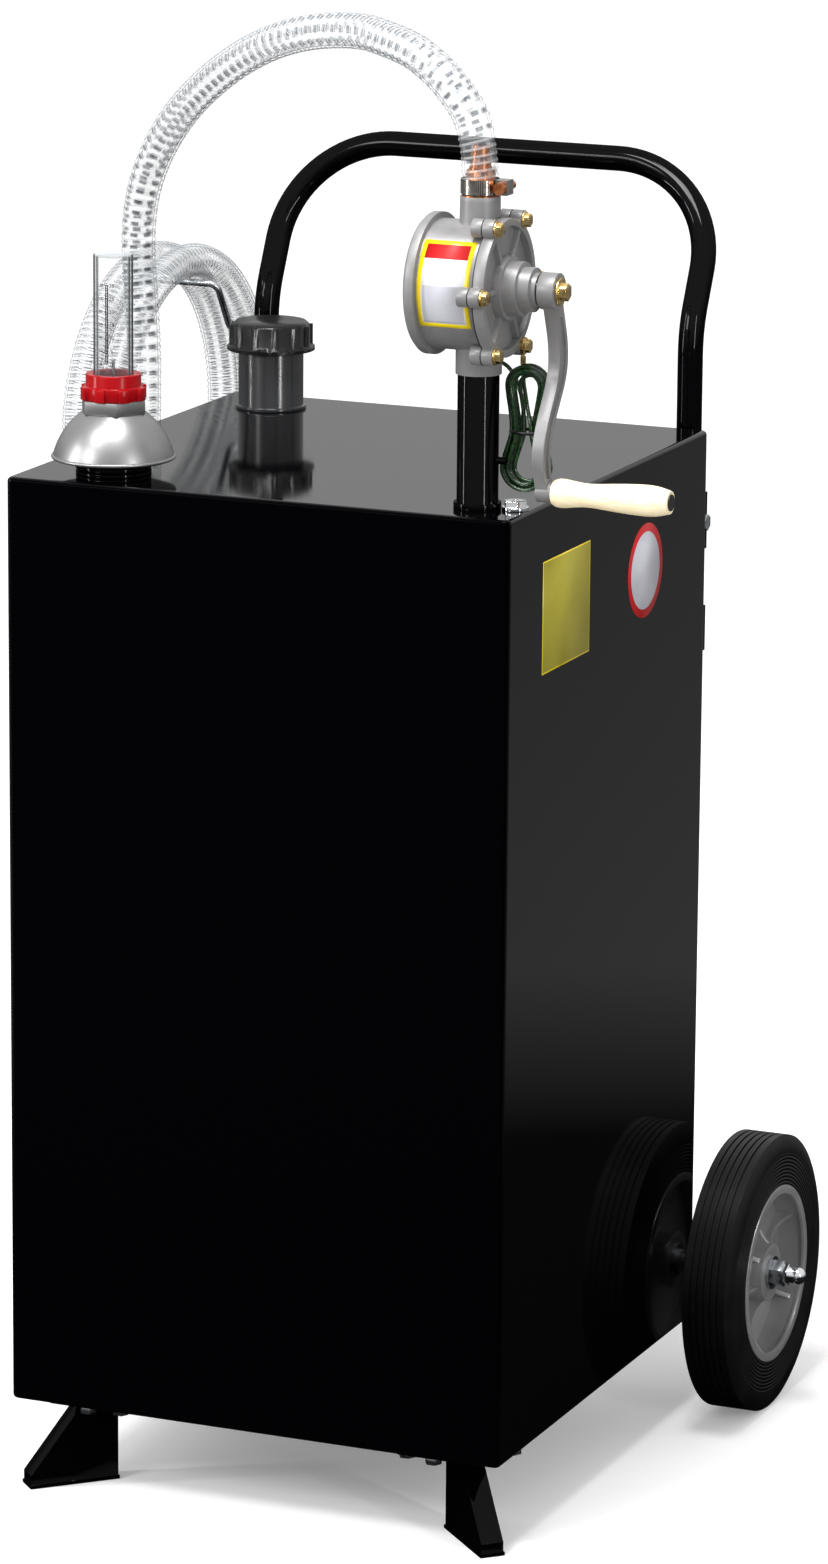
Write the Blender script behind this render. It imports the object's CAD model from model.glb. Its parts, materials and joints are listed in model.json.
import json
from math import cos, pi, radians, sin

import bmesh
import bpy
from mathutils import Matrix, Vector


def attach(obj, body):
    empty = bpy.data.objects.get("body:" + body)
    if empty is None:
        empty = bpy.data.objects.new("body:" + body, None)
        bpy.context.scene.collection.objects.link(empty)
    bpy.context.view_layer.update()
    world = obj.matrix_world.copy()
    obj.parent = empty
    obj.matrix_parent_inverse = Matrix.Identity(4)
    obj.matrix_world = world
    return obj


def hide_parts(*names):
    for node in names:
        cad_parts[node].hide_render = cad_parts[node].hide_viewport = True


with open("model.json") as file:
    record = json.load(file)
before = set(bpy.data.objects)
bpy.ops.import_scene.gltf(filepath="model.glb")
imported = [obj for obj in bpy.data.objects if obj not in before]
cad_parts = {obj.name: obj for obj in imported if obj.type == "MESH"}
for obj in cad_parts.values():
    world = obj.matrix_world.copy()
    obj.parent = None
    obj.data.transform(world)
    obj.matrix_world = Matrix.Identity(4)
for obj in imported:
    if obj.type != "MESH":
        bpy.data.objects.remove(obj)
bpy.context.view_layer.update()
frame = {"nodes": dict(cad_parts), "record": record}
nodes = frame["nodes"]
print("frame loaded")

# part.py gives its places in millimetres from the middle of the tank's bottom face
tankOrigin = Vector((-14.2, -61.55, 81.0))
drum = {"y": -183.0, "z": 981.0}  # the pump's axis
gauge = {"x": -152.5, "y": -171.0}  # the gauge's axis
wheel = {"y": 249.6, "z": 42.5}  # the axle's line


def rowPoint(x, y, z):
    return (tankOrigin + Vector((x, y, z))) / 1000


def intoScene(name, data):
    placed = bpy.data.objects.new(name, data)
    bpy.context.scene.collection.objects.link(placed)
    return placed


# the camera stands where the photograph was taken from
cameraPlace = {
    "spot": (2182.76, -5045.79, 1816.22),
    "right": (0.92021051, 0.39134584, 0.00781295),
    "up": (-0.09715213, 0.20901674, 0.97307423),
    "forward": (-0.37917552, 0.89619218, -0.23035949),
    "focalShare": 6614.90856 / 1564,  # focal length over the picture's long side
    "sensor": 36.0,
    "near": 0.1,
    "far": 200.0,
}


def makeCamera(place):
    data = bpy.data.cameras.new("camera")
    data.sensor_width = place["sensor"]
    data.lens = place["sensor"] * place["focalShare"]
    data.clip_start = place["near"]
    data.clip_end = place["far"]
    camera = intoScene("camera", data)
    turn = Matrix((place["right"], place["up"], [-v for v in place["forward"]])).transposed()
    camera.matrix_world = Matrix.Translation(rowPoint(*place["spot"])) @ turn.to_4x4()
    bpy.context.scene.camera = camera


makeCamera(cameraPlace)
bpy.context.scene.view_settings.view_transform = "Standard"
print("camera placed")

# a spiral rib of 5.6 mm pitch; the stations are part.py's route from the pump over to the hook
hose = {
    "bore": 12.5, "valley": 13.9, "crest": 15.0, "pitch": 5.6, "ribPower": 0.8,
    "sides": 20, "stationsPerRib": 6, "merge": 0.00001, "smoothAngle": 75,
    "stations": [
        (179.0, -183.0, 1055.0), (179.0, -183.0, 1106.0), (150.0, -177.0, 1142.0),
        (115.0, -160.0, 1162.0), (81.0, -134.0, 1167.0), (34.0, -99.0, 1171.0),
        (-43.0, -66.0, 1159.0), (-124.0, -16.0, 1121.0), (-203.0, 43.0, 1061.0),
        (-252.0, 80.0, 982.0), (-243.0, 80.0, 870.0), (-243.0, 80.0, 810.0),
    ],
    "coil": {
        "x": -243.0, "y": 215.0, "z": 780.0, "radius": 139.75, "pitch": 32.0, "turns": 2, "perTurn": 12},
    "end": [(-307.0, 80.0, 750.0), (-307.0, 80.0, 720.0)],
}


def routeCurve(name, points, resolution=10):
    # a smooth line with the route's points as its control points
    data = bpy.data.curves.new(name, "CURVE")
    data.dimensions = "3D"
    spline = data.splines.new("NURBS")
    spline.points.add(len(points) - 1)
    for place, point in zip(spline.points, points):
        place.co = (*rowPoint(*point), 1)
    spline.order_u = 3
    spline.use_endpoint_u = True
    spline.resolution_u = resolution
    return data


def hosePoints():
    # the stations, then the turns on the hook, then the way down to the nozzle
    coil = hose["coil"]
    step = 2 * pi / coil["perTurn"]
    points = list(hose["stations"])
    for k in range(coil["turns"] * coil["perTurn"]):
        angle = (k + 0.5) * step
        x = coil["x"] - coil["pitch"] * angle / (2 * pi)
        y = coil["y"] - coil["radius"] * cos(angle)
        z = coil["z"] - coil["radius"] * sin(angle)
        points.append((x, y, z))
    return points + hose["end"]


def splinePath(points):
    # the line that Blender draws through the route, as a list of places
    data = routeCurve("route", points)
    carrier = intoScene("routeCarrier", data)
    drawn = bpy.data.meshes.new_from_object(carrier)
    path = [v.co.copy() for v in drawn.vertices]
    bpy.data.objects.remove(carrier)
    bpy.data.meshes.remove(drawn)
    bpy.data.curves.remove(data)
    return path


def pathLength(path):
    return sum((b - a).length for a, b in zip(path, path[1:]))


def evenPath(path, count):
    # stations at even steps along a path
    runs = [(b - a).length for a, b in zip(path, path[1:])]
    total = sum(runs)
    spots = [path[0]]
    k = 0
    passed = 0.0
    for station in range(1, count):
        wanted = total * station / count
        while passed + runs[k] < wanted:
            passed += runs[k]
            k += 1
        spots.append(path[k].lerp(path[k + 1], (wanted - passed) / runs[k]))
    return spots + [path[-1]]


hosePath = splinePath(hosePoints())
hoseLength = pathLength(hosePath)
hoseRibs = round(hoseLength * 1000 / hose["pitch"])
hoseSpots = evenPath(hosePath, hoseRibs * hose["stationsPerRib"])
print("hose route, metres and ribs:", round(hoseLength, 4), hoseRibs)


def tone(code):
    # an sRGB hex colour as the linear values that the shaders take
    shares = [int(code[k:k + 2], 16) / 255 for k in (1, 3, 5)]
    return [v / 12.92 if v <= 0.04045 else ((v + 0.055) / 1.055) ** 2.4 for v in shares] + [1.0]


def addNode(tree, kind, links=None, **settings):
    # links gives a socket of the node another node's output or a plain value
    made = tree.nodes.new("ShaderNode" + kind)
    for name, value in settings.items():
        setattr(made, name, value)
    for name, value in (links or {}).items():
        if isinstance(value, bpy.types.NodeSocket):
            tree.links.new(value, made.inputs[name])
        else:
            made.inputs[name].default_value = value
    return made


def newFinish(name, values):
    material = bpy.data.materials.new(name)
    material.use_nodes = True
    tree = material.node_tree
    shader = tree.nodes["Principled BSDF"]
    for key, value in values.items():
        shader.inputs[key].default_value = value
    return material, tree, shader


def perMetre(millimetres):
    # a texture's scale, from the size of one cell
    return 1000 / millimetres


def setRamp(ramp, spots, codes):
    for element, spot, code in zip(ramp.color_ramp.elements, spots, codes):
        element.position = spot
        element.color = tone(code)


def glossByFacing(tree, shader, facings, levels):
    facing = addNode(tree, "LayerWeight", {"Blend": 0.5})
    level = addNode(tree, "MapRange", {
        "Value": facing.outputs["Facing"], "From Min": facings[0], "From Max": facings[1],
        "To Min": levels[0], "To Max": levels[1]})
    tree.links.new(level.outputs["Result"], shader.inputs["Specular IOR Level"])


grainLook = {"fineDetail": 3, "patchDetail": 4, "patchLow": 0.3, "patchHigh": 0.7}


def grained(name, values, grain, depth, patch, roughSpan, toneSpan=None, facings=None, levels=None):
    # a fine grain in the surface and slow patches in gloss and colour
    material, tree, shader = newFinish(name, values)
    place = addNode(tree, "TexCoord").outputs["Object"]
    low, high = grainLook["patchLow"], grainLook["patchHigh"]
    fine = addNode(tree, "TexNoise", {
        "Vector": place, "Scale": perMetre(grain), "Detail": grainLook["fineDetail"]})
    bump = addNode(tree, "Bump", {"Height": fine.outputs["Fac"], "Distance": depth / 1000})
    tree.links.new(bump.outputs["Normal"], shader.inputs["Normal"])
    slow = addNode(tree, "TexNoise", {
        "Vector": place, "Scale": perMetre(patch), "Detail": grainLook["patchDetail"]})
    rough = addNode(tree, "MapRange", {
        "Value": slow.outputs["Fac"], "From Min": low, "From Max": high,
        "To Min": roughSpan[0], "To Max": roughSpan[1]})
    tree.links.new(rough.outputs["Result"], shader.inputs["Roughness"])
    if toneSpan:
        ramp = addNode(tree, "ValToRGB", {"Fac": slow.outputs["Fac"]})
        setRamp(ramp, (low, high), toneSpan)
        tree.links.new(ramp.outputs["Color"], shader.inputs["Base Color"])
    if facings:
        glossByFacing(tree, shader, facings, levels)
    return material


def ringed(material, axes, centre, pitch, depth, span):
    # fine rings round an axis, on top of the finish's own grain; axes are the two it turns in,
    # and span is the radii between which the rings lie, each end fading over a millimetre
    tree = material.node_tree
    shader = tree.nodes["Principled BSDF"]
    own = shader.inputs["Normal"].links[0].from_socket
    parts = addNode(tree, "SeparateXYZ", {"Vector": addNode(tree, "TexCoord").outputs["Object"]})
    away = [addNode(tree, "Math", {0: parts.outputs[axis], 1: spot}, operation="SUBTRACT").outputs[0]
            for axis, spot in zip(axes, centre)]
    flat = addNode(tree, "CombineXYZ", {"X": away[0], "Y": away[1]})
    radius = addNode(tree, "VectorMath", {0: flat.outputs[0]}, operation="LENGTH").outputs["Value"]
    turns = addNode(tree, "Math", {0: radius, 1: 2 * pi * perMetre(pitch)}, operation="MULTIPLY")
    wave = addNode(tree, "Math", {0: turns.outputs[0]}, operation="SINE")
    inside = addNode(tree, "MapRange", {
        "Value": radius, "From Min": span[0] / 1000, "From Max": (span[0] + 1) / 1000})
    outside = addNode(tree, "MapRange", {
        "Value": radius, "From Min": (span[1] + 1) / 1000, "From Max": span[1] / 1000})
    kept = addNode(tree, "Math", {0: inside.outputs[0], 1: outside.outputs[0]}, operation="MULTIPLY")
    height = addNode(tree, "Math", {0: wave.outputs[0], 1: kept.outputs[0]}, operation="MULTIPLY")
    bump = addNode(tree, "Bump", {"Height": height.outputs[0], "Distance": depth / 1000, "Normal": own})
    tree.links.new(bump.outputs["Normal"], shader.inputs["Normal"])
    return material


slots = {"pitch": 1.7, "dark": "#7a685c", "edge": (0.55, 0.75)}  # edge: where in its wave a slot starts


def slotted(material):
    # the slots punched through a worm-drive band; a wave texture repeats at each tenth of pi
    tree = material.node_tree
    shader = tree.nodes["Principled BSDF"]
    bands = addNode(tree, "TexWave", {
        "Vector": addNode(tree, "TexCoord").outputs["Object"],
        "Scale": pi * perMetre(slots["pitch"]) / 10}, bands_direction="X")
    cut = addNode(tree, "MapRange", {
        "Value": bands.outputs["Fac"], "From Min": slots["edge"][0], "From Max": slots["edge"][1]})
    own = shader.inputs["Base Color"].links[0].from_socket
    mixed = addNode(tree, "Mix", {0: cut.outputs[0], 6: own, 7: tone(slots["dark"])}, data_type="RGBA")
    tree.links.new(mixed.outputs[2], shader.inputs["Base Color"])
    return material


beech = {
    "stretch": (60, 900, 900),  # cells in a metre: flecks of 17 mm along the grip, 1 mm across
    "detail": 5, "spots": (0.32, 0.62), "tones": ("#ecd6a8", "#faeccb"), "depth": 0.1,
}


def beechWood():
    # turned beech under a thin varnish: pale cream, with short darker flecks along the grip
    material, tree, shader = newFinish("turnedBeech", {
        "Roughness": 0.4, "Coat Weight": 0.25, "Coat Roughness": 0.12})
    stretched = addNode(tree, "Mapping", {
        "Vector": addNode(tree, "TexCoord").outputs["Object"], "Scale": beech["stretch"]})
    fleck = addNode(tree, "TexNoise", {
        "Vector": stretched.outputs["Vector"], "Scale": 1.0, "Detail": beech["detail"]})
    ramp = addNode(tree, "ValToRGB", {"Fac": fleck.outputs["Fac"]})
    setRamp(ramp, beech["spots"], beech["tones"])
    tree.links.new(ramp.outputs["Color"], shader.inputs["Base Color"])
    bump = addNode(tree, "Bump", {"Height": fleck.outputs["Fac"], "Distance": beech["depth"] / 1000})
    tree.links.new(bump.outputs["Normal"], shader.inputs["Normal"])
    return material


vinyl = {
    "clear": "#e6e9eb", "grey": "#5c6064",
    "rows": 7,  # rows of dashes round the hose
    "rowEdge": (-0.5, 0.1), "rowLow": 0.2,  # where in its wave a row starts, and what is left between
    "dashEdge": (0.25, 0.7),  # the same for a dash along its valley
    "flankShift": 0.25, "flankEdge": (0.1, 0.6), "flankDark": 1.4,  # the line beside each crest
    "wound": (0.28, 0.34),  # shares of the length where the arch turns into the coil
    "tail": (0.016, 0.03), "tailShare": 0.6,  # thinner where it is stretched over the tail
    "wall": (0.62, 0.9),  # facing where the wall turns grey
    "milkEdge": (0.35, 0.9), "milk": (0.05, 0.3),  # opacity of the clear parts and of the crests
    "veil": 0.6,  # opacity of the grey
}


def clearVinyl(ribs):
    # extruded clear PVC with a milky stiffening rib: white crests, the rest nearly clear.
    # The arch shows rows of grey dashes in every second valley, where the far wall's rib looks
    # through, drawn as coarse as they need to show. The coil shows each rib's flank as a line.
    material, tree, shader = newFinish("extrudedClearPvc", {
        "Roughness": 0.1, "IOR": 1.4, "Specular IOR Level": 0.3})
    place = addNode(tree, "UVMap", uv_map="hoseUv")
    along = addNode(tree, "SeparateXYZ", {"Vector": place.outputs["UV"]})
    count = addNode(tree, "Math", {0: along.outputs["X"], 1: float(ribs)}, operation="MULTIPLY")
    phase = addNode(tree, "Math", {0: count.outputs[0], 1: along.outputs["Y"]}, operation="SUBTRACT")
    turn = addNode(tree, "Math", {0: phase.outputs[0], 1: 2 * pi}, operation="MULTIPLY")
    wave = addNode(tree, "Math", {0: turn.outputs[0]}, operation="COSINE")
    rows = addNode(tree, "Math", {0: along.outputs["Y"], 1: 2 * pi * vinyl["rows"]}, operation="MULTIPLY")
    rowWave = addNode(tree, "Math", {0: rows.outputs[0]}, operation="SINE")
    row = addNode(tree, "MapRange", {
        "Value": rowWave.outputs[0], "From Min": vinyl["rowEdge"][0], "From Max": vinyl["rowEdge"][1],
        "To Min": vinyl["rowLow"], "To Max": 1.0})
    halfTurn = addNode(tree, "Math", {0: phase.outputs[0], 1: pi}, operation="MULTIPLY")
    dashWave = addNode(tree, "Math", {0: halfTurn.outputs[0]}, operation="SINE")
    dash = addNode(tree, "MapRange", {
        "Value": dashWave.outputs[0], "From Min": vinyl["dashEdge"][0], "From Max": vinyl["dashEdge"][1]})
    shifted = addNode(tree, "Math", {0: wave.outputs[0], 1: vinyl["flankShift"]}, operation="ADD")
    spread = addNode(tree, "Math", {0: shifted.outputs[0]}, operation="ABSOLUTE")
    flank = addNode(tree, "MapRange", {
        "Value": spread.outputs[0], "From Min": vinyl["flankEdge"][0], "From Max": vinyl["flankEdge"][1],
        "To Min": vinyl["flankDark"], "To Max": 0.0})
    wound = addNode(tree, "MapRange", {
        "Value": along.outputs["X"], "From Min": vinyl["wound"][0], "From Max": vinyl["wound"][1]})
    marks = addNode(tree, "Mix", {0: wound.outputs[0], 2: dash.outputs[0], 3: flank.outputs[0]})
    broken = addNode(tree, "Math", {0: marks.outputs[0], 1: row.outputs[0]}, operation="MULTIPLY")
    facing = addNode(tree, "LayerWeight", {"Blend": 0.5})
    wall = addNode(tree, "MapRange", {
        "Value": facing.outputs["Facing"], "From Min": vinyl["wall"][0], "From Max": vinyl["wall"][1]})
    dark = addNode(tree, "Math", {0: broken.outputs[0], 1: wall.outputs[0]}, operation="MAXIMUM")
    milk = addNode(tree, "MapRange", {
        "Value": wave.outputs[0], "From Min": vinyl["milkEdge"][0], "From Max": vinyl["milkEdge"][1],
        "To Min": vinyl["milk"][0], "To Max": vinyl["milk"][1]})
    veil = addNode(tree, "Math", {0: dark.outputs[0], 1: vinyl["veil"]}, operation="MULTIPLY")
    full = addNode(tree, "Math", {0: milk.outputs[0], 1: veil.outputs[0]}, operation="ADD", use_clamp=True)
    tail = addNode(tree, "MapRange", {
        "Value": along.outputs["X"], "From Min": vinyl["tail"][0], "From Max": vinyl["tail"][1],
        "To Min": vinyl["tailShare"], "To Max": 1.0})
    alpha = addNode(tree, "Math", {0: full.outputs[0], 1: tail.outputs[0]}, operation="MULTIPLY")
    tree.links.new(alpha.outputs[0], shader.inputs["Alpha"])
    colour = addNode(tree, "Mix", {
        0: dark.outputs[0], 6: tone(vinyl["clear"]), 7: tone(vinyl["grey"])}, data_type="RGBA")
    tree.links.new(colour.outputs[2], shader.inputs["Base Color"])
    return material


acrylic = {
    "wall": (0.42, 0.68),  # facing where the wall starts to show, and where it is full
    "alpha": (0.05, 0.92), "endAlpha": 0.6, "endEdge": (0.3, 0.7),
    "spots": (0.42, 0.66), "tones": ("#b4b9bc", "#24282b"),
}


def clearAcrylic():
    # extruded acrylic tube: clear, hard gloss, its wall seen as thin dark lines at the sides
    material, tree, shader = newFinish("extrudedAcrylic", {"Roughness": 0.03, "IOR": 1.49})
    facing = addNode(tree, "LayerWeight", {"Blend": 0.5}).outputs["Facing"]
    wall = addNode(tree, "MapRange", {
        "Value": facing, "From Min": acrylic["wall"][0], "From Max": acrylic["wall"][1],
        "To Min": acrylic["alpha"][0], "To Max": acrylic["alpha"][1]})
    way = addNode(tree, "SeparateXYZ", {"Vector": addNode(tree, "NewGeometry").outputs["Normal"]})
    level = addNode(tree, "Math", {0: way.outputs["Z"]}, operation="ABSOLUTE")
    side = addNode(tree, "MapRange", {  # one on the tube's side, nothing on its cut ends
        "Value": level.outputs[0], "From Min": acrylic["endEdge"][0], "From Max": acrylic["endEdge"][1],
        "To Min": 1.0, "To Max": 0.0})
    alpha = addNode(tree, "Mix", {0: side.outputs[0], 2: acrylic["endAlpha"], 3: wall.outputs["Result"]})
    tree.links.new(alpha.outputs[0], shader.inputs["Alpha"])
    turned = addNode(tree, "Math", {0: facing, 1: side.outputs[0]}, operation="MULTIPLY")
    ramp = addNode(tree, "ValToRGB", {"Fac": turned.outputs[0]})
    setRamp(ramp, acrylic["spots"], acrylic["tones"])
    tree.links.new(ramp.outputs["Color"], shader.inputs["Base Color"])
    return material


metal = {"Metallic": 1.0}
film = {"Specular IOR Level": 0.3}
# each gives the material's name, its plain values, the grain's size, its depth and the patches'
# size in millimetres, the span of roughness and the two tones
finishes = {
    # stoved gloss enamel on pressed sheet: black face on, mirror-like at a slant, a trace of orange peel
    "enamel": grained("stovedGlossEnamel", {"Base Color": tone("#020203")}, 3.0, 0.003, 150.0,
                      (0.04, 0.08), facings=(0.15, 0.5), levels=(0.004, 0.21)),
    # the same enamel on tube and small parts, its edges staying black
    "tubeEnamel": grained("enamelledTube", {"Base Color": tone("#020203")}, 2.0, 0.005, 60.0, (0.05, 0.08),
                          facings=(0.1, 0.6), levels=(0.11, 0.003)),
    # the filler's neck, sprayed dark grey and semi-gloss
    "neckEnamel": grained("sprayedNeckEnamel", {}, 1.5, 0.005, 30.0, (0.16, 0.22),
                          ("#1b1c1e", "#222325")),
    # bright zinc plate: cool grey metal with cloudy gloss
    "zinc": grained("brightZincPlate", metal, 0.8, 0.01, 9.0, (0.2, 0.34), ("#a7abb0", "#c9cccf")),
    # rolled stainless band of a hose clamp: bright, slotted
    "band": slotted(grained("rolledStainlessBand", metal, 0.8, 0.006, 6.0, (0.16, 0.26),
                            ("#bdbcb8", "#d6d3cd"))),
    # nickel chrome plate: near mirror
    "chrome": grained("chromePlate", {"Base Color": tone("#dfe1e4"), "Metallic": 1.0},
                      1.5, 0.002, 20.0, (0.04, 0.09)),
    # die-cast aluminium under grey lacquer: even grey, satin, with a sandy grain
    "casting": grained("lacqueredDieCasting", {"Metallic": 0.15}, 0.9, 0.03, 25.0, (0.34, 0.44),
                       ("#727171", "#7e7d7d")),
    # spun aluminium with a satin lacquer: soft broad highlight, faint rings from the spinning
    "dome": ringed(grained("spunSatinAluminium", {"Metallic": 0.9}, 1.2, 0.004, 30.0, (0.34, 0.38),
                           ("#868686", "#909090")),
                   ("X", "Y"), rowPoint(gauge["x"], gauge["y"], 0).xy, 0.9, 0.002, (28, 52)),
    # yellow passivated zinc bolts: pale gold with a rainbow tinge
    "yellowZinc": grained("yellowZincPlate", metal, 0.7, 0.008, 3.5, (0.18, 0.3), ("#cfa95c", "#f0dda6")),
    # cast and turned brass: warm, slightly tarnished
    "brass": grained("turnedBrass", {"Metallic": 0.9}, 0.6, 0.008, 6.0, (0.24, 0.38),
                     ("#a25a34", "#c9824f")),
    # grey cast iron: dark and dull
    "iron": grained("castIron", {"Metallic": 0.7}, 0.8, 0.05, 10.0, (0.5, 0.65), ("#4a4a4c", "#5c5c5e")),
    # moulded tyre rubber: black, dull, with fine rings in the side wall
    "rubberTyre": ringed(grained("mouldedRubber", {"Specular IOR Level": 0.24}, 0.7, 0.02, 40.0,
                                 (0.4, 0.55), ("#040404", "#080808")),
                         ("Y", "Z"), rowPoint(0, wheel["y"], wheel["z"]).yz, 3.2, 0.25, (78, 106)),
    # die-cast rim under satin grey lacquer: mid grey with soft highlights
    "rim": grained("lacqueredRim", {"Metallic": 0.45}, 0.8, 0.02, 30.0, (0.26, 0.36),
                   ("#8c8c8d", "#9b9b9c")),
    # natural nylon: milky white
    "nylon": grained("naturalNylon", {"Subsurface Weight": 0.1}, 0.8, 0.01, 20.0, (0.35, 0.45),
                     ("#dcdbd4", "#e6e5de")),
    # nitrile rubber: black, dull
    "nitrile": grained("nitrileRubber", {}, 0.6, 0.02, 10.0, (0.55, 0.7), ("#0b0b0b", "#121212")),
    # moulded polypropylene cap: dark grey with a fine spark-eroded texture
    "capPlastic": grained("texturedPolypropylene", {"Specular IOR Level": 0.25}, 0.5, 0.02, 25.0,
                          (0.24, 0.34), ("#0b0b0c", "#101011")),
    # black moulded plastic of the grip's plug and the trigger: satin, nearly even
    "blackPlastic": grained("mouldedBlackPlastic", {}, 0.6, 0.02, 12.0, (0.35, 0.45),
                            ("#0a0a0b", "#101011")),
    # moulded red ABS: bright, glossy
    "redPlastic": grained("mouldedRedAbs", {"Specular IOR Level": 0.14}, 1.0, 0.006, 14.0, (0.16, 0.26),
                          ("#84030a", "#90050c")),
    # green PVC insulation under a clear sheath: dark green, glossy, lighter where the copper shows
    "greenPvc": grained("greenPvcInsulation", {"Coat Weight": 0.5, "Coat Roughness": 0.06},
                        1.4, 0.01, 3.0, (0.22, 0.36), ("#031207", "#1d4a1c")),
    # printed vinyl film of the stickers: flat colour, satin
    "yellowFilm": grained("printedYellowFilm", {"Specular IOR Level": 0.2}, 1.5, 0.003, 40.0, (0.5, 0.6),
                          ("#958b2c", "#a09634")),
    "brightYellowFilm": grained("brightYellowFilm", {}, 1.5, 0.003, 20.0, (0.28, 0.36),
                                ("#e6ca0c", "#f0d616")),
    "redFilm": grained("printedRedFilm", film, 1.5, 0.003, 30.0, (0.45, 0.55), ("#a80f12", "#b81417")),
    "whiteFilm": grained("printedWhiteFilm", film, 1.5, 0.003, 30.0, (0.45, 0.55), ("#cacacc", "#d4d4d6")),
    "greyFilm": grained("printedGreyFilm", film, 1.5, 0.003, 30.0, (0.45, 0.55), ("#ababb2", "#b5b5bc")),
    # screen-printed ink of the gauge's scale: black, flat
    "ink": grained("screenPrintedInk", {"Specular IOR Level": 0.1}, 0.5, 0.01, 5.0, (0.5, 0.6),
                   ("#020202", "#060606")),
    "beech": beechWood(),
    "vinyl": clearVinyl(hoseRibs),
    "acrylic": clearAcrylic(),
}
slotFinishes = {
    "black_steel": "enamel", "zinc_steel": "zinc", "bright_chrome": "chrome", "grey_casting": "casting",
    "satin_dome": "dome", "yellow_brass": "yellowZinc", "iron_rotor": "iron", "grey_rim": "rim",
    "black_tyre": "rubberTyre", "white_nylon": "nylon", "black_rubber": "nitrile",
    "dark_cap": "capPlastic", "black_plastic": "blackPlastic", "red_plastic": "redPlastic",
    "clear_vial": "acrylic", "pale_wood": "beech", "clear_hose": "vinyl", "green_wire": "greenPvc",
}
# pieces that look unlike the rest of their slot
nodeFinishes = {
    "handle_tube": "tubeEnamel", "handle_brackets": "tubeEnamel", "axle_brackets": "tubeEnamel",
    "foot_left": "tubeEnamel", "foot_right": "tubeEnamel", "stand_pipe": "tubeEnamel",
    "gauge_collar": "tubeEnamel", "filler_neck": "neckEnamel", "hose_hook": "zinc",
    "hose_tail": "brass", "crank_bolt": "yellowZinc", "clamp_screws": "brass", "hose_clamps": "band",
}
slotOf = {subpart["node"]: subpart["material_slot"] for subpart in frame["record"]["subparts"]}
finishOf = {node: nodeFinishes.get(node, slotFinishes[slot]) for node, slot in slotOf.items()}
for node, finish in finishOf.items():
    nodes[node].data.materials.clear()
    nodes[node].data.materials.append(finishes[finish])
print("finishes made")


def linkPiece(name, data, finish, body, replaced=()):
    piece = intoScene(name, data)
    if not data.materials:
        data.materials.append(finishes[finish])
    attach(piece, body)
    if replaced:
        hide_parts(*replaced)
    return piece


def smoothMesh(name, bm, angle=35):
    data = bpy.data.meshes.new(name)
    bm.to_mesh(data)
    bm.free()
    data.polygons.foreach_set("use_smooth", [True] * len(data.polygons))
    data.set_sharp_from_angle(angle=radians(angle))
    return data


def sideWays(spots):
    # a steady sideways direction at each spot, carried along without twist
    ways = []
    side = Vector((0, 1, 0))
    for k in range(len(spots)):
        ahead = (spots[min(k + 1, len(spots) - 1)] - spots[max(k - 1, 0)]).normalized()
        side = (side - ahead * side.dot(ahead)).normalized()
        ways.append((side, ahead.cross(side)))
    return ways


def wrapTube(bm, spots, ways, sides, radiusAt):
    # a flat grid, wrapped round the line through the spots
    count = len(spots) - 1
    made = bmesh.ops.create_grid(bm, x_segments=count, y_segments=sides, size=0.5, calc_uvs=True)
    for v in made["verts"]:
        k = round((v.co.x + 0.5) * count)
        share = v.co.y + 0.5
        angle = 2 * pi * share
        radius = radiusAt(k, share) / 1000
        v.co = spots[k] + ways[k][0] * radius * cos(angle) + ways[k][1] * radius * sin(angle)
    return made["verts"]


def makeHose(spots):
    perRib = hose["stationsPerRib"]
    ways = sideWays(spots)
    last = len(spots) - 1

    def ribbed(k, share):
        swell = (0.5 + 0.5 * cos(2 * pi * (k / perRib - share))) ** hose["ribPower"]
        fade = min(1.0, k / perRib, (last - k) / perRib)  # the first and last rib run out
        return hose["valley"] + (hose["crest"] - hose["valley"]) * swell * fade

    bm = bmesh.new()
    bm.loops.layers.uv.new("hoseUv")
    wrapTube(bm, spots, ways, hose["sides"], ribbed)
    wrapTube(bm, spots[::perRib], ways[::perRib], hose["sides"], lambda k, share: hose["bore"])
    bmesh.ops.remove_doubles(bm, verts=bm.verts, dist=hose["merge"])
    # each open end is closed by a ring between the outer wall and the bore
    loose = [e for e in bm.edges if len(e.link_faces) == 1]
    reach = 2 * hose["crest"] / 1000
    near = [e for e in loose if (e.verts[0].co - spots[0]).length < reach]
    far = [e for e in loose if (e.verts[0].co - spots[0]).length >= reach]
    bmesh.ops.bridge_loops(bm, edges=near)
    bmesh.ops.bridge_loops(bm, edges=far)
    bmesh.ops.recalc_face_normals(bm, faces=bm.faces)
    data = smoothMesh("ribbedHose", bm, hose["smoothAngle"])
    return linkPiece("ribbedHose", data, "vinyl", "caddy", ("hose", "hose_coil"))


ribbedHose = makeHose(hoseSpots)
print("hose made")

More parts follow.
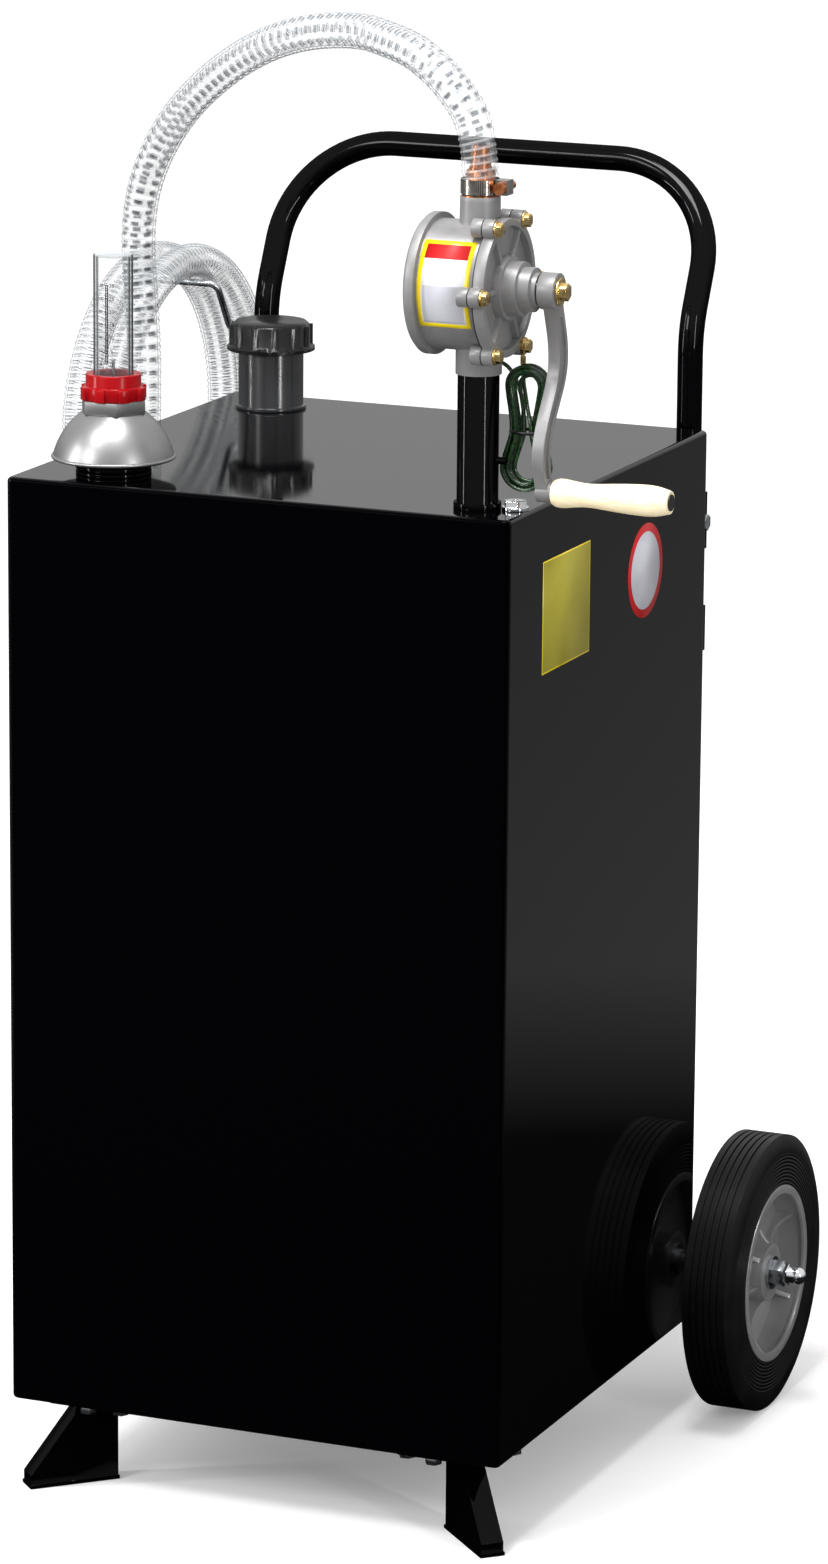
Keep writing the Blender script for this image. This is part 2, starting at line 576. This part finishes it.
# a hank folded back and forth: each run goes through the waist, sideways by steps and back by layers
wire = {
    "radius": 1.75, "bevelSteps": 3, "resolution": 6,
    "x": 215.0, "y": -164.45, "top": 898.0, "waist": 862.0, "low": 834.0,
    "inner": 11.0, "step": 4.8, "draw": 6.0, "flare": 2.0, "layer": 4.3, "middleLayer": 1.5,
    "spread": 0.966, "tuck": 1.0, "runShares": (0.15, 0.6), "foldSpots": 6,
    "runs": [  # steps sideways, layer, layer after the waist
        (0, 0, 0), (1, 0, 0), (2, 0, 0), (3, 0, 1), (2, 1, 1), (1, 1, 1), (0, 1, 1), (-1, 1, 2),
        (0, 2, 2), (1, 2, 2), (2, 2, 2), (3, 2, 3), (2, 3, 3), (1, 3, 3),
    ],
    "lead": [
        (205.6, -153.5, 914.4), (205.6, -153.5, 903.0), (210.0, -158.0, 890.0),
        (216.0, -167.0, 878.0), (220.0, -170.9, 869.0),
    ],
    "tail": [
        (207.6, -158.0, 870.0), (206.0, -151.5, 881.0), (199.5, -145.0, 892.0),
        (191.0, -137.0, 904.0), (180.0, -134.0, 912.0), (170.0, -139.0, 913.0),
        (165.0, -149.0, 907.0), (166.0, -157.0, 895.0), (166.0, -157.0, 882.0),
    ],
}


def hankPoints():
    # six points round each fold, five down each run
    points = []
    early, late = wire["runShares"]
    lastRun = len(wire["runs"]) - 1
    for k, (steps, layer, nextLayer) in enumerate(wire["runs"]):
        side = 1 if k % 2 == 0 else -1
        offset = wire["inner"] + steps * wire["step"] / 2
        y = wire["y"] + (layer - wire["middleLayer"]) * wire["layer"]
        yNext = wire["y"] + (nextLayer - wire["middleLayer"]) * wire["layer"]
        first, last = (wire["top"], wire["low"]) if side > 0 else (wire["low"], wire["top"])
        widths = [offset, offset + wire["flare"]] if side > 0 else [offset + wire["flare"], offset]
        pinch = offset - wire["draw"]
        run = [
            (widths[0] - wire["tuck"], y, first + (wire["waist"] - first) * early),
            ((widths[0] + 2 * pinch) / 3, y, first + (wire["waist"] - first) * late),
            (pinch, (y + yNext) / 2, wire["waist"]),
            ((widths[1] + 2 * pinch) / 3, yNext, last + (wire["waist"] - last) * late),
            (widths[1] - wire["tuck"], yNext, last + (wire["waist"] - last) * early),
        ]
        if k == 0:
            run = run[2:]
        if k == lastRun:
            run = run[:3]
        points += [(wire["x"] + side * across, depth, height) for across, depth, height in run]
        if k < lastRun:
            following = wire["inner"] + wire["runs"][k + 1][0] * wire["step"] / 2
            if side > 0:
                following += wire["flare"]
            middle = wire["x"] + side * (widths[1] - following) / 2
            radius = (widths[1] + following) / 2 / wire["spread"]
            for fold in range(wire["foldSpots"]):
                turn = radians(180 / wire["foldSpots"] * (fold + 0.5))
                x = middle + side * radius * cos(turn)
                points.append((x, yNext, last - side * radius * sin(turn)))
    return points


def makeWire(points):
    data = routeCurve("groundWire", points, wire["resolution"])
    data.bevel_depth = wire["radius"] / 1000
    data.bevel_resolution = wire["bevelSteps"]
    data.use_fill_caps = True
    return linkPiece("groundWire", data, "greenPvc", "caddy",
                     ("ground_wire_hank", "ground_wire_leads"))


wirePoints = wire["lead"] + hankPoints() + wire["tail"]
groundWire = makeWire(wirePoints)
wireLength = pathLength(splinePath(wirePoints))
print("wire made, metres:", round(wireLength, 4))

# metres and degrees, except the widths, which are the millimetres cut back beside each edge
softEdge = {"merge": 0.000005, "flat": 1, "sharp": 28, "segments": 2, "mergeAfter": 0.000002, "smooth": 40}
softWidths = {
    "pump_body": 0.8, "pump_cover": 0.7, "crank_arm": 0.8, "filler_cap": 0.7, "gauge_nut": 0.6,
    "gauge_hex": 0.5, "rim_left": 0.6, "rim_right": 0.6, "foot_left": 0.5, "foot_right": 0.5,
    "handle_brackets": 0.5, "axle_brackets": 0.5, "cover_bolts": 0.25, "crank_bolt": 0.3,
    "foot_bolts": 0.3, "axle_nuts": 0.3, "axle_cap_nuts": 0.3, "handle_bolts": 0.3, "vent_plug": 0.4,
    "nozzle_trigger": 0.6, "ground_clamp_fixed": 0.2, "ground_clamp_jaw": 0.2,
    "filler_neck": 0.4, "gauge_collar": 0.4, "stand_pipe": 0.5,
}


def softCopy(node, width, body):
    # the piece again, with its sharp edges rounded
    bm = bmesh.new()
    bm.from_mesh(nodes[node].data)
    bmesh.ops.remove_doubles(bm, verts=bm.verts, dist=softEdge["merge"])
    bmesh.ops.dissolve_limit(bm, angle_limit=radians(softEdge["flat"]), verts=bm.verts, edges=bm.edges)
    least = radians(softEdge["sharp"])
    sharp = [e for e in bm.edges if len(e.link_faces) == 2 and e.calc_face_angle(0) > least]
    bmesh.ops.bevel(bm, geom=sharp, offset=width / 1000, offset_type="OFFSET", affect="EDGES",
                    segments=softEdge["segments"], profile=0.5, material=-1, clamp_overlap=True)
    bmesh.ops.remove_doubles(bm, verts=bm.verts, dist=softEdge["mergeAfter"])
    bmesh.ops.triangulate(bm, faces=[f for f in bm.faces if len(f.verts) > 4])
    name = node + "Finished"
    mesh = smoothMesh(name, bm, softEdge["smooth"])
    if "custom_normal" in mesh.attributes:
        mesh.attributes.remove(mesh.attributes["custom_normal"])
    mesh.materials.clear()
    return linkPiece(name, mesh, finishOf[node], body, (node,))


bodies = frame["record"]["behaviour"]["bodies"]
bodyOf = {node: body for body, names in bodies.items() for node in names}
soft = {node: softCopy(node, width, bodyOf[node]) for node, width in softWidths.items()}
print("edges rounded on", len(soft), "pieces")

# millimetres; lift is how far a field stands off the one below it
filmThickness = 0.05
drumLabel = {
    "radius": 52.6, "lift": 0.06, "slices": 24,
    "fields": [  # finish, X from and to, angle from and to, layer
        ("brightYellowFilm", 146.0, 191.0, 50.0, -32.0, 0), ("redFilm", 149.8, 187.2, 45.5, 31.0, 1),
        ("whiteFilm", 149.8, 187.2, 31.0, -28.0, 1), ("greyFilm", 150.8, 186.2, 8.0, -26.8, 2),
    ],
}
wallLabel = {
    "x": 225.05, "lift": 0.06,
    "fields": [  # finish, Y from and to, Z from and to, layer
        ("brightYellowFilm", -153.0, -48.5, 659.0, 753.0, 0),
        ("yellowFilm", -151.6, -49.6, 660.2, 751.8, 1),
    ],
}
wallDisc = {
    "x": 225.05, "y": 79.5, "z": 703.7, "sides": 72,
    "rings": [("redFilm", 40.5, 0.06), ("greyFilm", 33.2, 0.12)],  # finish, radius, lift
}


def fieldPatch(bm, finishList, finish, slices, placeOf):
    made = bmesh.ops.create_grid(bm, x_segments=1, y_segments=slices, size=0.5)
    for v in made["verts"]:
        v.co = placeOf(v.co.x + 0.5, v.co.y + 0.5)
    for face in {f for v in made["verts"] for f in v.link_faces}:
        face.material_index = finishList.index(finish)


def filmPiece(name, bm, finishList):
    bmesh.ops.recalc_face_normals(bm, faces=bm.faces)
    data = smoothMesh(name, bm)
    for finish in finishList:
        data.materials.append(finishes[finish])
    piece = linkPiece(name, data, finishList[0], "caddy")
    sheet = piece.modifiers.new("film", "SOLIDIFY")
    sheet.thickness = filmThickness / 1000
    sheet.offset = 0


def makeDrumLabel():
    bm = bmesh.new()
    finishList = ["brightYellowFilm", "redFilm", "whiteFilm", "greyFilm"]
    for finish, xFrom, xTo, turnFrom, turnTo, layer in drumLabel["fields"]:
        radius = drumLabel["radius"] + layer * drumLabel["lift"]

        def placeOf(across, up):
            turn = radians(turnFrom + (turnTo - turnFrom) * up)
            x = xFrom + (xTo - xFrom) * across
            return rowPoint(x, drum["y"] - radius * cos(turn), drum["z"] + radius * sin(turn))

        fieldPatch(bm, finishList, finish, drumLabel["slices"], placeOf)
    filmPiece("drumLabel", bm, finishList)


def makeWallLabel():
    bm = bmesh.new()
    finishList = ["brightYellowFilm", "yellowFilm"]
    for finish, yFrom, yTo, zFrom, zTo, layer in wallLabel["fields"]:
        x = wallLabel["x"] + layer * wallLabel["lift"]

        def placeOf(across, up):
            return rowPoint(x, yFrom + (yTo - yFrom) * across, zFrom + (zTo - zFrom) * up)

        fieldPatch(bm, finishList, finish, 1, placeOf)
    filmPiece("wallLabel", bm, finishList)


def makeWallDisc():
    bm = bmesh.new()
    finishList = ["redFilm", "greyFilm"]
    for finish, radius, lift in wallDisc["rings"]:
        middle = rowPoint(wallDisc["x"] + lift, wallDisc["y"], wallDisc["z"])
        upright = Matrix.Translation(middle) @ Matrix.Rotation(pi / 2, 4, "Y")
        made = bmesh.ops.create_circle(bm, cap_ends=True, segments=wallDisc["sides"],
                                       radius=radius / 1000, matrix=upright)
        for face in {f for v in made["verts"] for f in v.link_faces}:
            face.material_index = finishList.index(finish)
    filmPiece("wallDisc", bm, finishList)


makeDrumLabel()
makeWallLabel()
makeWallDisc()
print("stickers made")

# the scale printed round the vial; turns are degrees from where it faces
vialScale = {
    "radius": 16.55, "low": 893.5, "step": 10.9, "marks": 6, "parts": 5, "line": 0.6, "railHalf": 1.5,
    "facing": (0.432, -0.902), "slices": 3,
    "rails": (-22.0, -16.5), "shortTurns": (-22.0, -16.5), "longTurns": (-26.5, -13.5),
    "numbers": [  # upwards, the turn of their middle, their height
        (("0", "5", "10", "15", "20", "25", "30"), -5.0, 3.4),
        (("0", "20", "40", "60", "80", "100", "120"), -39.0, 2.8),
    ],
    "sizeShare": 1.35,  # a font's size to the height of its figures
    "weight": 0.02, "curveSteps": 3,
}


def vialPoint(turn, z):
    facing = Vector(vialScale["facing"])
    ahead = facing * cos(turn) + Vector((-facing.y, facing.x)) * sin(turn)
    spot = ahead.normalized() * vialScale["radius"]
    return rowPoint(gauge["x"] + spot.x, gauge["y"] + spot.y, z)


def addNumber(bm, text, middle, foot, height):
    words = bpy.data.curves.new("number", "FONT")
    words.body = text
    words.size = height * vialScale["sizeShare"]
    words.align_x = "CENTER"
    words.resolution_u = vialScale["curveSteps"]
    words.offset = vialScale["weight"]
    carrier = bpy.data.objects.new("number", words)
    flat = bpy.data.meshes.new_from_object(carrier)
    for v in flat.vertices:
        v.co = vialPoint(radians(middle) + v.co.x / vialScale["radius"], foot + v.co.y)
    bm.from_mesh(flat)
    bpy.data.objects.remove(carrier)
    bpy.data.curves.remove(words)
    bpy.data.meshes.remove(flat)


def makeVialScale():
    bm = bmesh.new()
    half = vialScale["line"] / 2
    high = vialScale["low"] + vialScale["step"] * vialScale["marks"]

    def bar(turns, heights, slices):
        fieldPatch(bm, ["ink"], "ink", slices, lambda across, up: vialPoint(
            radians(turns[0] + (turns[1] - turns[0]) * up),
            heights[0] + (heights[1] - heights[0]) * across))

    for rail in vialScale["rails"]:
        bar((rail - vialScale["railHalf"], rail + vialScale["railHalf"]), (vialScale["low"], high), 1)
    for k in range(vialScale["marks"] * vialScale["parts"] + 1):
        z = vialScale["low"] + vialScale["step"] * k / vialScale["parts"]
        turns = vialScale["longTurns" if k % vialScale["parts"] == 0 else "shortTurns"]
        bar(turns, (z - half, z + half), vialScale["slices"])
    for texts, middle, height in vialScale["numbers"]:
        for step, text in enumerate(texts):
            foot = vialScale["low"] + step * vialScale["step"] - height / 2
            addNumber(bm, text, middle, foot, height)
    for face in bm.faces:
        face.material_index = 0
    filmPiece("vialScale", bm, ["ink"])


makeVialScale()
print("gauge scale made")

# the band round the waist of the hank
wireTie = {
    "x": 215.0, "y": -164.5, "z": 862.0, "halfX": 14.0, "halfY": 10.6, "height": 2.6, "wall": 1.0,
    "sides": 28,
}


def makeWireTie():
    bm = bmesh.new()
    made = bmesh.ops.create_circle(bm, segments=wireTie["sides"], radius=1.0)
    size = (wireTie["halfX"] / 1000, wireTie["halfY"] / 1000, 1)
    bmesh.ops.scale(bm, vec=size, verts=made["verts"])
    rise = bmesh.ops.extrude_edge_only(bm, edges=bm.edges[:])
    lifted = [v for v in rise["geom"] if isinstance(v, bmesh.types.BMVert)]
    bmesh.ops.translate(bm, vec=(0, 0, wireTie["height"] / 1000), verts=lifted)
    low = rowPoint(wireTie["x"], wireTie["y"], wireTie["z"] - wireTie["height"] / 2)
    bmesh.ops.translate(bm, vec=low, verts=bm.verts)
    bmesh.ops.recalc_face_normals(bm, faces=bm.faces)
    data = smoothMesh("wireTie", bm)
    piece = linkPiece("wireTie", data, "blackPlastic", "caddy")
    wall = piece.modifiers.new("wall", "SOLIDIFY")
    wall.thickness = wireTie["wall"] / 1000
    wall.offset = 0


makeWireTie()
print("wire tie made")

[tuple(p) for p in hoseSpots[::hose["stationsPerRib"]]]


studio = {
    "floorSize": 80.0, "floorHeight": -0.0005, "floorPale": "#f2f2f2", "floorLift": 0.2,
    "floorNear": "#181818", "floorMirrored": "#727272", "floorBounce": "#b4b4b4",
    "fadeFrom": 1.1, "fadeTo": 1.75,  # metres; nearer than this the polished walls mirror a dark floor
    "worldDiffuse": 0.75, "worldGlossHigh": 0.95, "worldGlossLow": 0.25,
    "worldFrom": -0.05, "worldTo": 0.35,  # how steep a mirrored look up is, from dim to bright
    "sun": {"strength": 1.2, "angle": 12, "from": (-0.35, -0.8, 1.2)},
    "aim": (0, 0, 0.9),
    "boxes": [
        {"name": "topBox", "spot": (0.15, -0.75, 3.1), "size": (0.8, 0.8), "watts": 60},
        {"name": "keyBox", "spot": (-1.8, -3.6, 2.6), "size": (1.0, 1.0), "watts": 55},
        {"name": "leftStrip", "spot": (-2.6, -1.8, 1.5), "size": (0.1, 1.8), "watts": 40},
        {"name": "rightStrip", "spot": (3.2, -2.0, 1.6), "size": (0.1, 1.8), "watts": 40},
    ],
}


def makeFloor():
    # seen directly it is pale card; in mirrors it is darker, near the caddy darkest
    bm = bmesh.new()
    bmesh.ops.create_grid(bm, x_segments=1, y_segments=1, size=studio["floorSize"] / 2)
    data = bpy.data.meshes.new("floor")
    bm.to_mesh(data)
    bm.free()
    floorPiece = intoScene("floor", data)
    floorPiece.location.z = studio["floorHeight"]
    material = bpy.data.materials.new("paleStudioFloor")
    material.use_nodes = True
    tree = material.node_tree
    tree.nodes.clear()
    path = addNode(tree, "LightPath")
    seen = addNode(tree, "Math", {
        0: path.outputs["Is Camera Ray"], 1: path.outputs["Is Transmission Ray"]}, operation="MAXIMUM")
    pale = addNode(tree, "BsdfDiffuse", {"Color": tone(studio["floorPale"])})
    lift = addNode(tree, "Emission", {"Color": tone("#ffffff"), "Strength": studio["floorLift"]})
    bright = addNode(tree, "AddShader", {0: pale.outputs[0], 1: lift.outputs[0]})
    place = addNode(tree, "TexCoord").outputs["Object"]
    away = addNode(tree, "VectorMath", {0: place}, operation="LENGTH")
    fade = addNode(tree, "MapRange", {
        "Value": away.outputs["Value"], "From Min": studio["fadeFrom"], "From Max": studio["fadeTo"]})
    floorTone = addNode(tree, "Mix", {
        0: fade.outputs[0], 6: tone(studio["floorNear"]), 7: tone(studio["floorMirrored"])},
        data_type="RGBA")
    bounced = addNode(tree, "Mix", {
        0: path.outputs["Is Glossy Ray"], 6: tone(studio["floorBounce"]), 7: floorTone.outputs[2]},
        data_type="RGBA")
    mirrored = addNode(tree, "BsdfDiffuse", {"Color": bounced.outputs[2]})
    mixed = addNode(tree, "MixShader", {0: seen.outputs[0], 1: mirrored.outputs[0], 2: bright.outputs[0]})
    addNode(tree, "OutputMaterial", {"Surface": mixed.outputs[0]})
    data.materials.append(material)


def makeWorld():
    # white where it is seen directly; in mirrors dim low down and bright above
    world = bpy.data.worlds.new("studioWorld")
    bpy.context.scene.world = world
    world.use_nodes = True
    tree = world.node_tree
    tree.nodes.clear()
    path = addNode(tree, "LightPath")
    way = addNode(tree, "SeparateXYZ", {"Vector": addNode(tree, "TexCoord").outputs["Generated"]})
    high = addNode(tree, "MapRange", {
        "Value": way.outputs["Z"], "From Min": studio["worldFrom"], "From Max": studio["worldTo"],
        "To Min": studio["worldGlossLow"], "To Max": studio["worldGlossHigh"]})
    gloss = addNode(tree, "Mix", {
        0: path.outputs["Is Glossy Ray"], 2: studio["worldDiffuse"], 3: high.outputs["Result"]})
    seen = addNode(tree, "Math", {
        0: path.outputs["Is Camera Ray"], 1: path.outputs["Is Transmission Ray"]}, operation="MAXIMUM")
    strength = addNode(tree, "Mix", {0: seen.outputs[0], 2: gloss.outputs[0], 3: 1.0})
    glow = addNode(tree, "Background", {"Color": tone("#ffffff"), "Strength": strength.outputs[0]})
    addNode(tree, "OutputWorld", {"Surface": glow.outputs[0]})


def makeLamps():
    sun = bpy.data.lights.new("sun", "SUN")
    sun.energy = studio["sun"]["strength"]
    sun.angle = radians(studio["sun"]["angle"])
    lamp = intoScene("sun", sun)
    lamp.rotation_euler = Vector(studio["sun"]["from"]).to_track_quat("Z", "Y").to_euler()
    for box in studio["boxes"]:
        light = bpy.data.lights.new(box["name"], "AREA")
        light.shape = "RECTANGLE"
        light.size, light.size_y = box["size"]
        light.energy = box["watts"]
        lamp = intoScene(box["name"], light)
        lamp.location = box["spot"]
        away = Vector(box["spot"]) - Vector(studio["aim"])
        lamp.rotation_euler = away.to_track_quat("Z", "Y").to_euler()
        lamp.visible_camera = False


makeFloor()
makeWorld()
makeLamps()
print("studio lit")
